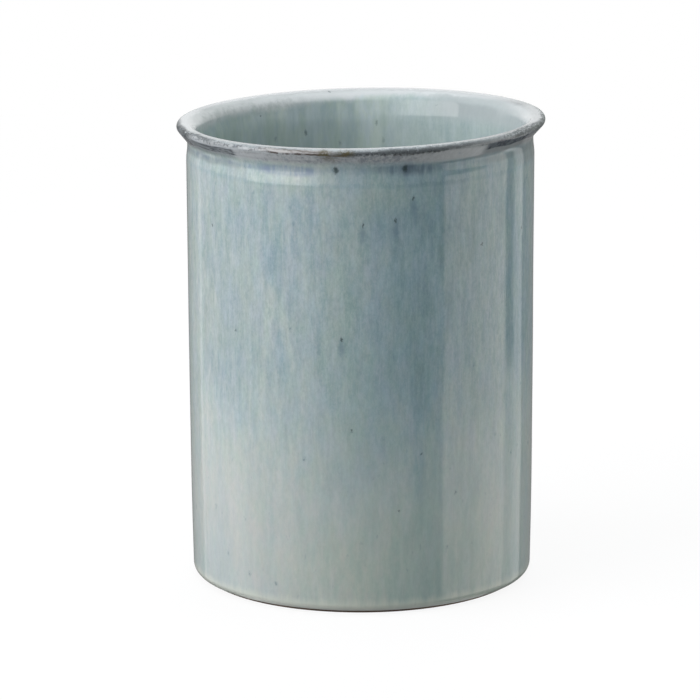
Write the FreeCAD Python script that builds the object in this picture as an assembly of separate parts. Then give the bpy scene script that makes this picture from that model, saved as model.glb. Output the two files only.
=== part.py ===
import FreeCAD, Part
import math
import os

# Utensil crock: a straight-sided stoneware jar with an everted lip, for standing kitchen tools in.
# One fired clay body carries four glaze coats, each laid on in its own step: the outside coat, the
# thin coat that breaks over the lip, the liner inside, and the patch inside the foot ring.
# Millimetres, +Z up. The origin is the centre of the foot ring, on the table.
# Every section is drawn in the XZ plane, X being the radius, and turned once about Z.

# Overall sizes, taken over the glaze, as are all sizes down to the coats
TOTAL_HEIGHT = 150.0
RIM_DIAMETER = 118.2

# Wall: how far the lip stands out from the shoulder, and the neck, collar, waist and base lie in from it
LIP_OVERHANG = 3.2
NECK_DEPTH = 0.45
COLLAR_DEPTH = 0.34
WAIST_DEPTH = 0.25
BASE_DEPTH = 0.75
NECK_BELOW_TOP = 5.8
COLLAR_BELOW_NECK = 3.0
SHOULDER_BELOW_TOP = 11.3
WAIST_HEIGHT = 30.0

# Thickness of the wall at the mouth and at the floor, and of the floor with its recess; inside, the mouth
# narrows to a throat
MOUTH_WALL = 3.6
THROAT_DEPTH = 1.1
THROAT_BELOW_MOUTH = 6.4
WELL_WALL = 4.75
WELL_FLOOR_HEIGHT = 7.5

# Glaze coats
WALL_GLAZE = 0.6
RIM_GLAZE = 0.3
LINER_GLAZE = 0.6
PATCH_GLAZE = 0.5

# Lip: a round nose of this radius, over the glaze, that the top land and the underside run into; behind
# the land, which falls a little, the lip is dished down to the mouth
LIP_RADIUS = 1.3
LIP_LAND = 2.6
LAND_FALL = 0.05
LIP_DISH = 2.0

# Foot: a bare ring, bevelled outside, round a shallow recess
FOOT_INSET = 3.15
FOOT_RING_WIDTH = 6.0
BEVEL_HEIGHT = 2.6
BARE_BEVEL_SHARE = 0.6
RECESS_DEPTH = 2.0
RECESS_DRAFT = 1.2
PATCH_MARGIN = 1.0

# Rounding at each corner of the clay: the length that it takes of the side before and after the corner
FOOT_EASE = 0.6
RECESS_EASE = 1.0
BEVEL_EASE = 0.8
WAIST_EASE = 12.0
SHOULDER_EASE = 1.2
COLLAR_EASE = 0.5
NECK_EASE = 1.5
LAND_EASE = 1.0
MOUTH_EASE = 1.2
THROAT_EASE = 1.5
WELL_EASE = 6.5

# Rounding at the free edge of a coat, as a share of the coat's thickness
COAT_EDGE_SHARE = 0.7

AXIS = FreeCAD.Vector(0, 0, 1)
CENTRE = FreeCAD.Vector(0, 0, 0)
FULL_TURN = 360


def at(radius, height):
    """A point of the section."""
    return FreeCAD.Vector(radius, 0, height)


def heading(start, end):
    """Unit vector from start to end."""
    return (end - start).normalize()


def off_clay(way):
    """The side of a path that faces away from the clay: its right-hand side."""
    return at(way.z, -way.x)


def turned(vector, angle):
    """A vector turned by an angle, anticlockwise in the section."""
    cosine = math.cos(angle)
    sine = math.sin(angle)
    return at(vector.x * cosine - vector.z * sine, vector.x * sine + vector.z * cosine)


def touch_point(start, centre, radius, side):
    """Where a line from start touches a circle, with the circle on its left (side 1) or right (-1)."""
    reach = centre - start
    lean = math.asin(radius / reach.Length)
    way = turned(heading(start, centre), -side * lean)
    return start + way * (reach.Length * math.cos(lean))


def line(start, end):
    """A straight edge."""
    return Part.LineSegment(start, end).toShape()


def rounded_edges(corners):
    """Lines and tangent arcs through a list of (point, ease); the first and last points stay sharp."""
    edges = []
    here = corners[0][0]
    for (before, _), (corner, ease), (after, _) in zip(corners, corners[1:], corners[2:]):
        back = heading(corner, before)
        on = heading(corner, after)
        half_turn = (math.pi - back.getAngle(on)) / 2
        if ease <= 0 or half_turn == 0:
            edges.append(line(here, corner))
            here = corner
            continue
        radius = ease / math.tan(half_turn)
        middle = corner + (back + on).normalize() * (radius / math.cos(half_turn) - radius)
        edges.append(line(here, corner + back * ease))
        edges.append(Part.Arc(corner + back * ease, middle, corner + on * ease).toShape())
        here = corner + on * ease
    edges.append(line(here, corners[-1][0]))
    return edges


def coated(corners, thickness):
    """The path that a coat of this thickness gives a path of the clay, with arcs on the same centres."""
    points = [point for point, _ in corners]
    normals = [off_clay(heading(a, b)) for a, b in zip(points, points[1:])]
    moved = [(points[0] + normals[0] * thickness, 0)]
    for (point, ease), before, after in zip(corners[1:], normals, normals[1:]):
        lift = (before + after) * (thickness / (1 + before.dot(after)))
        bends_out = before.x * after.z - before.z * after.x
        growth = math.copysign(thickness * math.tan(before.getAngle(after) / 2), bends_out)
        moved.append((point + lift, ease + growth))
    moved.append((points[-1] + normals[-1] * thickness, 0))
    return moved


def turned_solid(edges):
    """The solid that a closed section makes in one turn about the axis."""
    outline = Part.Wire(Part.sortEdges(edges)[0])
    return Part.Face(outline).revolve(CENTRE, AXIS, FULL_TURN)


def lip_arc(centre, start, end):
    """The round of the lip, from the underside over the nose to the dished top."""
    radius = (start - centre).Length
    nose = heading(centre, start) + heading(centre, end)
    return Part.Arc(start, centre + nose.normalize() * radius, end).toShape()


# Radii over the glaze
rim_radius = RIM_DIAMETER / 2
shoulder_radius = rim_radius - LIP_OVERHANG
base_radius = shoulder_radius - BASE_DEPTH
foot_radius = base_radius - FOOT_INSET

# Stations of the clay, inside the coats
lip_centre = at(rim_radius - LIP_RADIUS, TOTAL_HEIGHT - LIP_RADIUS)
clay_lip_radius = LIP_RADIUS - RIM_GLAZE
foot_outer = at(foot_radius, 0)
foot_inner = at(foot_radius - FOOT_RING_WIDTH, 0)
recess_corner = at(foot_inner.x - RECESS_DRAFT, RECESS_DEPTH)
recess_centre = at(0, RECESS_DEPTH)
bevel_top = at(base_radius - WALL_GLAZE, BEVEL_HEIGHT)
glaze_line = foot_outer + (bevel_top - foot_outer) * BARE_BEVEL_SHARE
waist = at(shoulder_radius - WAIST_DEPTH - WALL_GLAZE, WAIST_HEIGHT)
shoulder = at(shoulder_radius - WALL_GLAZE, TOTAL_HEIGHT - SHOULDER_BELOW_TOP)
neck = at(shoulder_radius - NECK_DEPTH - WALL_GLAZE, TOTAL_HEIGHT - NECK_BELOW_TOP)
collar = at(shoulder_radius - COLLAR_DEPTH - WALL_GLAZE, neck.z - COLLAR_BELOW_NECK)
under_lip = touch_point(neck, lip_centre, clay_lip_radius, 1)
land_edge = at(lip_centre.x - LIP_LAND, TOTAL_HEIGHT - LAND_FALL - LINER_GLAZE)
over_lip = touch_point(land_edge, lip_centre, clay_lip_radius, -1)
mouth = at(shoulder_radius - MOUTH_WALL + LINER_GLAZE, TOTAL_HEIGHT - LIP_DISH - LINER_GLAZE)
throat = at(mouth.x - THROAT_DEPTH, mouth.z - THROAT_BELOW_MOUTH)
well_corner = at(base_radius - WELL_WALL + LINER_GLAZE, WELL_FLOOR_HEIGHT - LINER_GLAZE)
well_centre = at(0, WELL_FLOOR_HEIGHT - LINER_GLAZE)

# Paths round the clay, always with the clay on their left
foot_path = [
    (recess_centre, 0),
    (recess_corner, RECESS_EASE),
    (foot_inner, FOOT_EASE),
    (foot_outer, FOOT_EASE),
    (glaze_line, 0),
]
outside_path = [
    (glaze_line, 0),
    (bevel_top, BEVEL_EASE),
    (waist, WAIST_EASE),
    (shoulder, SHOULDER_EASE),
    (collar, COLLAR_EASE),
    (neck, NECK_EASE),
    (under_lip, 0),
]
inside_path = [
    (over_lip, 0),
    (land_edge, LAND_EASE),
    (mouth, MOUTH_EASE),
    (throat, THROAT_EASE),
    (well_corner, WELL_EASE),
    (well_centre, 0),
]

# Paths over the coats, which run into the lip's full round
outside_coat = coated(outside_path, WALL_GLAZE)
outside_coat[-1] = (touch_point(outside_coat[-2][0], lip_centre, LIP_RADIUS, 1), 0)
inside_coat = coated(inside_path, LINER_GLAZE)
inside_coat[0] = (touch_point(inside_coat[1][0], lip_centre, LIP_RADIUS, -1), 0)
coat_under_lip = outside_coat[-1][0]
coat_over_lip = inside_coat[0][0]


def stoneware_body():
    """Wall, floor, lip and foot ring: one piece of fired clay."""
    edges = rounded_edges(foot_path) + rounded_edges(outside_path) + rounded_edges(inside_path)
    edges.append(lip_arc(lip_centre, under_lip, over_lip))
    edges.append(line(well_centre, recess_centre))
    return turned_solid(edges)


def outer_glaze():
    """The outside coat, from a rolled edge on the foot bevel up to the underside of the lip."""
    edge_ease = WALL_GLAZE * COAT_EDGE_SHARE
    foot_edge = outside_coat[0][0]
    face = [(glaze_line, 0), (foot_edge, edge_ease)] + outside_coat[1:]
    edges = rounded_edges(outside_path) + rounded_edges(face)
    edges.append(line(under_lip, coat_under_lip))
    return turned_solid(edges)


def rim_glaze():
    """The thin coat over the lip, where the glaze has run off the edge."""
    edges = [
        lip_arc(lip_centre, under_lip, over_lip),
        lip_arc(lip_centre, coat_under_lip, coat_over_lip),
        line(under_lip, coat_under_lip),
        line(over_lip, coat_over_lip),
    ]
    return turned_solid(edges)


def liner_glaze():
    """The coat inside, from the dished top of the lip down the wall and across the floor."""
    edges = rounded_edges(inside_path) + rounded_edges(inside_coat)
    edges.append(line(over_lip, coat_over_lip))
    edges.append(line(well_centre, inside_coat[-1][0]))
    return turned_solid(edges)


def base_glaze():
    """The patch of glaze on the recessed base; the foot ring round it is wiped bare."""
    patch_radius = recess_corner.x - RECESS_EASE - PATCH_MARGIN
    patch_height = RECESS_DEPTH - PATCH_GLAZE
    patch_edge = at(patch_radius, RECESS_DEPTH)
    face = [
        (patch_edge, 0),
        (at(patch_radius, patch_height), PATCH_GLAZE * COAT_EDGE_SHARE),
        (at(0, patch_height), 0),
    ]
    edges = rounded_edges(face)
    edges.append(line(recess_centre, patch_edge))
    edges.append(line(recess_centre, face[-1][0]))
    return turned_solid(edges)


os.makedirs("parts", exist_ok=True)
for piece in (stoneware_body, outer_glaze, rim_glaze, liner_glaze, base_glaze):
    shape = piece()
    shape.exportStep(f"parts/{piece.__name__}.step")
    print(piece.__name__, "valid" if shape.isValid() else "not valid", f"{shape.Volume:.0f} mm3")
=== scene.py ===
import math
import bpy
from mathutils import Matrix, Vector


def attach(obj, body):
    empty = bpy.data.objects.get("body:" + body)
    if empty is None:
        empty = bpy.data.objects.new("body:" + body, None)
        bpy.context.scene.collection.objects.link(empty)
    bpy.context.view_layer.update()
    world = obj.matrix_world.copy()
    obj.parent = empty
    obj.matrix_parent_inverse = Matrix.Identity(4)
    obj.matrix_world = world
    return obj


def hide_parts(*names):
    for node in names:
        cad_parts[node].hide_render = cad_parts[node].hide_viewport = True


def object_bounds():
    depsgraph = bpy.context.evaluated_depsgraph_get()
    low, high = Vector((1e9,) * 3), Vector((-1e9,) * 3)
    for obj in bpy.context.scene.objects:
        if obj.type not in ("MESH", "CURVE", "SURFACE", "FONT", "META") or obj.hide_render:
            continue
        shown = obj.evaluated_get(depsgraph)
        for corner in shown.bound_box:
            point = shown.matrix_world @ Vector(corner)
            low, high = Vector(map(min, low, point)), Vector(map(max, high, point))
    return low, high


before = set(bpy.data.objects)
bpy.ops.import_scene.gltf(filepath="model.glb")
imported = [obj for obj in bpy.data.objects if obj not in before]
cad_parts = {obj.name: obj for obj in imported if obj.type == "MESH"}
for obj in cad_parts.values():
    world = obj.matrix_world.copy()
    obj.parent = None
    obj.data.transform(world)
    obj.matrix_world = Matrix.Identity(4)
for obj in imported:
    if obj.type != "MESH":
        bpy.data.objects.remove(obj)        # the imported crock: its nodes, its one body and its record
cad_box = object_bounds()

# Stoneware body
# The pot itself, turned from one lump of iron-bearing clay and fired to a toasted brown. Glaze hides it
# everywhere but on the bevelled foot ring, which is wiped bare so that the pot doesn't stick in the kiln.

rim_radius = cad_box[1].x
crock_height = cad_box[1].z
lip_overhang = 0.0032
neck_depth = 0.00045
collar_depth = 0.00034
waist_depth = 0.00025
base_depth = 0.00075
neck_below_top = 0.0058
collar_below_neck = 0.003
shoulder_below_top = 0.0113
waist_height = 0.03
mouth_wall = 0.0036
throat_depth = 0.0011
throat_below_mouth = 0.0064
well_wall = 0.00475
well_floor_height = 0.0075
wall_glaze = 0.0006
lip_glaze = 0.0003
lip_radius = 0.0013
land_width = 0.0026
land_fall = 0.00005
lip_dish = 0.002
foot_inset = 0.00315
foot_ring_width = 0.006
bevel_height = 0.0026
bare_bevel_share = 0.6
recess_depth = 0.002
recess_draft = 0.0012
foot_ease = 0.0006
recess_ease = 0.001
bevel_ease = 0.0008
waist_ease = 0.012
shoulder_ease = 0.0012
collar_ease = 0.0005
neck_ease = 0.0015
land_ease = 0.001
mouth_ease = 0.0012
throat_ease = 0.0015
well_ease = 0.0065
shoulder_radius = rim_radius - lip_overhang
neck_radius = shoulder_radius - neck_depth
base_radius = shoulder_radius - base_depth
foot_radius = base_radius - foot_inset
lip_centre = Vector((rim_radius - lip_radius, crock_height - lip_radius))
arc_step = math.radians(7)


def touch_point(start, centre, radius, side):
    """Where a line from start touches a circle that lies on its left (side 1) or its right (-1)."""
    reach = centre - start
    lean = math.asin(radius / reach.length)
    way = Matrix.Rotation(-side * lean, 2) @ reach.normalized()
    return start + way * (reach.length * math.cos(lean))


def arc_points(centre, start, end):
    """Points of the shorter arc from start to end about a centre."""
    arm = start - centre
    turn = -arm.angle_signed(end - centre)
    steps = max(2, math.ceil(abs(turn) / arc_step))
    return [centre + Matrix.Rotation(turn * i / steps, 2) @ arm for i in range(steps + 1)]


def rounded(corners):
    """Points through a list of (point, ease): inner corners become arcs that take ease of both sides."""
    points = [corners[0][0]]
    for (before, _), (corner, ease), (after, _) in zip(corners, corners[1:], corners[2:]):
        back = (before - corner).normalized()
        on = (after - corner).normalized()
        half_angle = back.angle(on) / 2
        centre = corner + (back + on).normalized() * (ease / math.cos(half_angle))
        points += arc_points(centre, corner + back * ease, corner + on * ease)
    return points + [corners[-1][0]]


def stepped(points, spacing):
    """The same line with its straight runs cut into steps no longer than the spacing."""
    line = []
    for start, end in zip(points, points[1:]):
        steps = max(1, math.ceil((end - start).length / spacing))
        line += [start.lerp(end, i / steps) for i in range(steps)]
    return line + [points[-1]]


recess_centre = Vector((0, recess_depth))
foot_inner = Vector((foot_radius - foot_ring_width, 0))
recess_corner = Vector((foot_inner.x - recess_draft, recess_depth))
foot_edge = Vector((foot_radius, 0))
bevel_top = Vector((base_radius - wall_glaze, bevel_height))
glaze_line = foot_edge.lerp(bevel_top, bare_bevel_share)
waist = Vector((shoulder_radius - waist_depth - wall_glaze, waist_height))
shoulder = Vector((shoulder_radius - wall_glaze, crock_height - shoulder_below_top))
neck = Vector((neck_radius - wall_glaze, crock_height - neck_below_top))
collar = Vector((shoulder_radius - collar_depth - wall_glaze, neck.y - collar_below_neck))
under_lip = touch_point(neck, lip_centre, lip_radius - lip_glaze, 1)
land_edge = Vector((lip_centre.x - land_width, crock_height - land_fall - wall_glaze))
over_lip = touch_point(land_edge, lip_centre, lip_radius - lip_glaze, -1)
mouth = Vector((shoulder_radius - mouth_wall + wall_glaze, crock_height - lip_dish - wall_glaze))
throat = mouth - Vector((throat_depth, throat_below_mouth))
well_corner = Vector((base_radius - well_wall + wall_glaze, well_floor_height - wall_glaze))
well_centre = Vector((0, well_corner.y))
foot_path = [
    (recess_centre, 0),
    (recess_corner, recess_ease),
    (foot_inner, foot_ease),
    (foot_edge, foot_ease),
    (glaze_line, 0),
]
outside_path = [
    (glaze_line, 0),
    (bevel_top, bevel_ease),
    (waist, waist_ease),
    (shoulder, shoulder_ease),
    (collar, collar_ease),
    (neck, neck_ease),
    (under_lip, 0),
]
inside_path = [
    (over_lip, 0),
    (land_edge, land_ease),
    (mouth, mouth_ease),
    (throat, throat_ease),
    (well_corner, well_ease),
    (well_centre, 0),
]
hidden_step = 0.006
foot_step = 0.0006


def add(tree, kind, values=None, **options):
    """A node with its options set and its inputs given as values or as sockets to link."""
    made = tree.nodes.new(kind)
    for name, value in options.items():
        setattr(made, name, value)
    for name, value in (values or {}).items():
        if isinstance(value, bpy.types.NodeSocket):
            tree.links.new(value, made.inputs[name])
        else:
            made.inputs[name].default_value = value
    return made


def tree_of(*values):
    """The node tree of the first socket among some values."""
    return next(value.id_data for value in values if isinstance(value, bpy.types.NodeSocket))


def calc(operation, *values):
    """The result of a Math node."""
    return add(tree_of(*values), "ShaderNodeMath", dict(enumerate(values)), operation=operation).outputs[0]


def product(first, *factors):
    """Values multiplied."""
    total = first
    for factor in factors:
        total = calc("MULTIPLY", total, factor)
    return total


def vector(operation, *values):
    """The result of a Vector Math node."""
    node = add(tree_of(*values), "ShaderNodeVectorMath", dict(enumerate(values)), operation=operation)
    return node.outputs["Value" if operation in ("LENGTH", "DOT_PRODUCT") else "Vector"]


wheel = bpy.data.node_groups.new("turned on the wheel", "GeometryNodeTree")
wheel.interface.new_socket("Turned piece", in_out="OUTPUT", socket_type="NodeSocketGeometry")
wheel.interface.new_socket("Section", in_out="INPUT", socket_type="NodeSocketGeometry")

# Faults of this one pot: its rim is tilted, its lip stands a little aside, and its wall sways
pot_faults = {
    "Rim tilt": 0.016,
    "Tilt from": 0.1,
    "Tilt to": 0.145,
    "Rim shift": 0.0002,
    "Shift from": 0.1445,
    "Shift to": 0.148,
    "Sway depth": 0.0003,
}
wheel_kinds = {"Steps round": "Int", "Run depth": "Float", "Finish": "Material"}
wheel_kinds.update(dict.fromkeys(pot_faults, "Float"))
wheel_inputs = {
    name: wheel.interface.new_socket(name, in_out="INPUT", socket_type="NodeSocket" + kind).identifier
    for name, kind in wheel_kinds.items()
}
wheel_hub = 0.01
sharp_edge = math.radians(40)
sway_scale = 16.0
run_scale = 190.0
run_stretch = 0.05
merge_reach = 1e-6
asked = add(wheel, "NodeGroupInput").outputs
laid = add(wheel, "GeometryNodeTransform", {
    "Geometry": asked["Section"], "Translation": (-wheel_hub, 0, 0), "Rotation": (math.radians(90), 0, 0)})
traced = add(wheel, "GeometryNodeMeshToCurve", {"Mesh": laid.outputs[0]})
circle = add(wheel, "GeometryNodeCurvePrimitiveCircle", {
    "Resolution": asked["Steps round"], "Radius": wheel_hub})
swept = add(wheel, "GeometryNodeCurveToMesh", {
    "Curve": circle.outputs["Curve"], "Profile Curve": traced.outputs[0]})
faced = add(wheel, "GeometryNodeFlipFaces", {"Mesh": swept.outputs[0]})
joined = add(wheel, "GeometryNodeMergeByDistance", {"Geometry": faced.outputs[0], "Distance": merge_reach})
place = add(wheel, "GeometryNodeInputPosition").outputs[0]
parts = add(wheel, "ShaderNodeSeparateXYZ", {0: place}).outputs
outward = vector("NORMALIZE", vector("MULTIPLY", place, (1, 1, 0)))
skin = add(wheel, "GeometryNodeInputNamedAttribute", {"Name": "skin"}, data_type="FLOAT")
sway = add(wheel, "ShaderNodeTexNoise", {"Vector": place, "Scale": sway_scale, "Detail": 1.0}).outputs[0]
streaky = vector("MULTIPLY", place, (1, 1, run_stretch))
run = add(wheel, "ShaderNodeTexNoise", {"Vector": streaky, "Scale": run_scale, "Detail": 2.0}).outputs[0]
sway_move = product(calc("SUBTRACT", sway, 0.5), asked["Sway depth"])
run_move = product(calc("SUBTRACT", run, 0.5), asked["Run depth"])
push = calc("MULTIPLY_ADD", run_move, skin.outputs["Attribute"], sway_move)
pushed = add(wheel, "ShaderNodeVectorMath", {0: outward, "Scale": push}, operation="SCALE").outputs[0]
shares = {
    fault: add(wheel, "ShaderNodeMapRange", {
        "Value": parts["Z"], "From Min": asked[fault + " from"], "From Max": asked[fault + " to"]}).outputs[0]
    for fault in ("Tilt", "Shift")
}
lift = product(parts["X"], asked["Rim tilt"], shares["Tilt"])
aside = product(asked["Rim shift"], shares["Shift"])
lifted = add(wheel, "ShaderNodeCombineXYZ", {"X": aside, "Z": lift}).outputs[0]
placed = add(wheel, "GeometryNodeSetPosition", {
    "Geometry": joined.outputs[0], "Offset": vector("ADD", pushed, lifted)})
angle = add(wheel, "GeometryNodeInputMeshEdgeAngle").outputs["Unsigned Angle"]
soft_edge = add(wheel, "FunctionNodeCompare", {0: angle, 1: sharp_edge}, operation="LESS_THAN").outputs[0]
smooth_faces = add(wheel, "GeometryNodeSetShadeSmooth", {"Geometry": placed.outputs[0]}, domain="FACE")
smooth = add(wheel, "GeometryNodeSetShadeSmooth", {
    "Geometry": smooth_faces.outputs[0], "Shade Smooth": soft_edge}, domain="EDGE")
realized = add(wheel, "GeometryNodeRealizeInstances", {"Geometry": smooth.outputs[0]})
finished = add(wheel, "GeometryNodeSetMaterial", {
    "Geometry": realized.outputs[0], "Material": asked["Finish"]})
add(wheel, "NodeGroupOutput", {0: finished.outputs[0]})


def new_object(name, data):
    """A new object in the scene."""
    made = bpy.data.objects.new(name, data)
    bpy.context.collection.objects.link(made)
    return made


def turned_piece(name, line, skins, falls, finish, steps, run_depth, loop):
    """A section line turned once round the axis, as a plain mesh object."""
    section = bpy.data.meshes.new(name + "_section")
    edges = [(i, i + 1) for i in range(len(line) - 1)]
    if loop:
        edges.append((len(line) - 1, 0))
    section.from_pydata([(point.x, 0, point.y) for point in line], edges, [])
    section.attributes.new("skin", "FLOAT", "POINT").data.foreach_set("value", skins)
    section.attributes.new("fall", "FLOAT", "POINT").data.foreach_set("value", falls)
    blank = new_object(name + "_blank", section)
    modifier = blank.modifiers.new("wheel", "NODES")
    modifier.node_group = wheel
    settings = {"Steps round": steps, "Run depth": run_depth, "Finish": finish, **pot_faults}
    for label, value in settings.items():
        modifier[wheel_inputs[label]] = value
    shaped = blank.evaluated_get(bpy.context.evaluated_depsgraph_get())
    mesh = bpy.data.meshes.new_from_object(shaped)
    mesh.name = name
    bpy.data.objects.remove(blank)
    return new_object(name, mesh)


def finish_material(name):
    """A material with its tree, its shader and the Object coordinates that its patterns read."""
    material = bpy.data.materials.new(name)
    material.use_nodes = True
    tree = material.node_tree
    return material, tree, tree.nodes["Principled BSDF"], add(tree, "ShaderNodeTexCoord").outputs["Object"]


def noise(place, scale, detail=2.0, roughness=0.5, stretch=(1, 1, 1), shift=(0, 0, 0)):
    """Noise from 0 to 1 on the place, drawn out by a stretch below 1."""
    drawn = vector("MULTIPLY_ADD", place, stretch, shift)
    values = {"Vector": drawn, "Scale": scale, "Detail": detail, "Roughness": roughness}
    return add(place.id_data, "ShaderNodeTexNoise", values).outputs["Fac"]


def ramped(value, low, high, at_low=0.0, at_high=1.0):
    """A smooth step from at_low to at_high as the value goes from low to high."""
    values = {"Value": value, "From Min": low, "From Max": high, "To Min": at_low, "To Max": at_high}
    return add(value.id_data, "ShaderNodeMapRange", values, interpolation_type="SMOOTHSTEP").outputs[0]


def mixed(share, first, second, way="MIX"):
    """Two colours mixed."""
    values = {0: share}
    for place, colour in ((6, first), (7, second)):
        values[place] = colour if isinstance(colour, bpy.types.NodeSocket) else (*colour, 1)
    node = add(tree_of(share, first, second), "ShaderNodeMix", values, data_type="RGBA", blend_type=way)
    return node.outputs[2]


def feed(shader, values):
    """Links values to a shader's inputs."""
    for name, value in values.items():
        value.id_data.links.new(value, shader.inputs[name])


clay, clay_tree, clay_shader, clay_place = finish_material("toasted stoneware")
clay_dark = (0.105, 0.062, 0.04)
clay_warm = (0.235, 0.16, 0.105)
clay_sand = (0.34, 0.26, 0.19)
clay_grain = noise(clay_place, 900.0, detail=3.0, roughness=0.6)
clay_cloud = noise(clay_place, 60.0)
clay_colour = mixed(ramped(clay_cloud, 0.35, 0.65), clay_dark, clay_warm)
clay_colour = mixed(ramped(clay_grain, 0.58, 0.75), clay_colour, clay_sand)
clay_bump = add(clay_tree, "ShaderNodeBump", {"Height": clay_grain, "Distance": 0.0002, "Strength": 0.5})
clay_shader.inputs["Roughness"].default_value = 0.8
feed(clay_shader, {"Base Color": clay_colour, "Normal": clay_bump.outputs[0]})

body_line = (
    stepped(rounded(foot_path), foot_step)
    + stepped(rounded(outside_path), hidden_step)[1:]
    + arc_points(lip_centre, under_lip, over_lip)[1:]
    + stepped(rounded(inside_path), hidden_step)[1:]
)
bare = [0.0] * len(body_line)
body = turned_piece("turned_body", body_line, bare, bare, clay, steps=320, run_depth=0.0, loop=False)
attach(body, "root")
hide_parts("stoneware_body")

# Outer glaze
# The coat outside, poured over the pot and melted to a glass. It ran down the wall in fine streaks, thinned
# under the lip, and stopped in a soft roll on the bevel of the foot.

coat_edge_share = 0.7
millimetre = 0.001


def coated(corners, thickness):
    """The corners of a path moved off the clay, which lies on its left, by the thickness of a coat."""
    points = [point for point, _ in corners]
    ways = [(b - a).normalized() for a, b in zip(points, points[1:])]
    normals = [Vector((way.y, -way.x)) for way in ways]
    moved = [(points[0] + normals[0] * thickness, 0)]
    for (point, ease), before, after in zip(corners[1:], normals, normals[1:]):
        lift = (before + after) * (thickness / (1 + before.dot(after)))
        turn = math.atan2(before.cross(after), before.dot(after))
        moved.append((point + lift, ease + thickness * math.tan(turn / 2)))
    return moved + [(points[-1] + normals[-1] * thickness, 0)]


outside_coat = coated(outside_path, wall_glaze)
outside_coat[-1] = (touch_point(outside_coat[-2][0], lip_centre, lip_radius, 1), 0)
inside_coat = coated(inside_path, wall_glaze)
inside_coat[0] = (touch_point(inside_coat[1][0], lip_centre, lip_radius, -1), 0)
wall_step = 0.0013
steps_round = 480
outer_corners = [(glaze_line, 0), (outside_coat[0][0], wall_glaze * coat_edge_share)] + outside_coat[1:]
outer_face = stepped(rounded(outer_corners), wall_step)
outer_back = stepped(rounded(outside_path)[::-1], hidden_step)[:-1]
rim_face = arc_points(lip_centre, outside_coat[-1][0], inside_coat[0][0])


def falls_after(points, first):
    """Millimetres from the nose of the lip down the outside, along a face that starts at first."""
    falls = [first]
    for start, end in zip(points, points[1:]):
        falls.append(falls[-1] - (end - start).length / millimetre)
    return falls


to_nose = falls_after(rim_face, 0.0)[max(range(len(rim_face)), key=lambda i: rim_face[i].x)]
outer_falls = falls_after(outer_face, -falls_after(outer_face, 0.0)[-1] - to_nose)


def summed(first, *terms):
    """A value with terms (value, weight) added."""
    total = first
    for value, weight in terms:
        total = calc("MULTIPLY_ADD", value, weight, total)
    return total


def shader_group(name, inputs, outputs):
    """An empty shader group with named sockets, and the inputs as they are seen inside it."""
    group = bpy.data.node_groups.new(name, "ShaderNodeTree")
    for way, sockets in (("INPUT", inputs), ("OUTPUT", outputs)):
        for label, kind in sockets.items():
            group.interface.new_socket(label, in_out=way, socket_type="NodeSocket" + kind)
    return group, add(group, "NodeGroupInput").outputs


run_contrast = {"Hair": 0.25, "Run": 0.25, "Cloud": 0.22, "Grain": 0.2, "Hue": 0.2, "Rose": 0.2}
runs, runs_in = shader_group(
    "glaze runs",
    {"Place": "Vector", "Hair scale": "Float", "Run scale": "Float", "Cloud scale": "Float"},
    dict.fromkeys(run_contrast, "Float"))
runs_place = runs_in["Place"]
grain_scale = product(runs_in["Run scale"], 2.0)
hue_scale = product(runs_in["Cloud scale"], 5.5)
run_fields = {
    "Hair": noise(runs_place, runs_in["Hair scale"], 3.0, 0.7, (1, 1, 0.07)),
    "Run": noise(runs_place, runs_in["Run scale"], 4.0, 0.65, (1, 1, 0.2), (0.3, 0.1, 0.2)),
    "Cloud": noise(runs_place, runs_in["Cloud scale"], 3.0, 0.55, (1, 1, 0.5), (0.7, 0.5, 0.4)),
    "Grain": noise(runs_place, grain_scale, 4.0, 0.9, (1, 1, 0.5), (0.9, 0.2, 0.6)),
    "Hue": noise(runs_place, hue_scale, 4.0, 0.65, (1, 1, 0.4), (0.2, 0.6, 0.1)),
    "Rose": noise(runs_place, hue_scale, 4.0, 0.7, (1.5, 1.5, 0.7), (0.6, 0.2, 0.5)),
}
add(runs, "NodeGroupOutput", {
    name: ramped(run_fields[name], 0.5 - contrast, 0.5 + contrast, -1.0, 1.0)
    for name, contrast in run_contrast.items()})


def woven(first, fields, **weights):
    """A value with outputs of the glaze runs added by weight."""
    return summed(first, *((fields[name], weight) for name, weight in weights.items()))


specks, specks_in = shader_group(
    "iron specks",
    {"Place": "Vector", "Spacing": "Float", "Core": "Float"},
    {"Speck": "Float", "Halo": "Float"})
speck_cells = add(specks, "ShaderNodeTexVoronoi", {
    "Vector": specks_in["Place"], "Scale": calc("DIVIDE", 1.0, specks_in["Spacing"])}).outputs
speck_away = vector("SUBTRACT", specks_in["Place"], speck_cells["Position"])
speck_reach = vector("LENGTH", vector("MULTIPLY", speck_away, (1, 1, 0.75)))
speck_share = calc("DIVIDE", speck_reach, specks_in["Core"])
add(specks, "NodeGroupOutput", {
    "Speck": ramped(speck_share, 0.7, 1.1, 1.0, 0.0),
    "Halo": ramped(speck_share, 0.8, 2.4, 1.0, 0.0)})

spot, spot_in = shader_group(
    "soft spot",
    {"Place": "Vector", "Centre": "Vector", "Across": "Float", "Down": "Float", "Core": "Float"},
    {"Mask": "Float"})
spot_away = vector("SUBTRACT", spot_in["Place"], spot_in["Centre"])
spot_size = add(spot, "ShaderNodeCombineXYZ", {
    "X": spot_in["Across"], "Y": spot_in["Across"], "Z": spot_in["Down"]}).outputs[0]
spot_reach = vector("LENGTH", vector("DIVIDE", spot_away, spot_size))
add(spot, "NodeGroupOutput", {"Mask": ramped(spot_reach, spot_in["Core"], 1.0, 1.0, 0.0)})
ragged_scale = 1400.0
ragged_reach = (0.0011, 0.0011, 0.0014)


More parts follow.
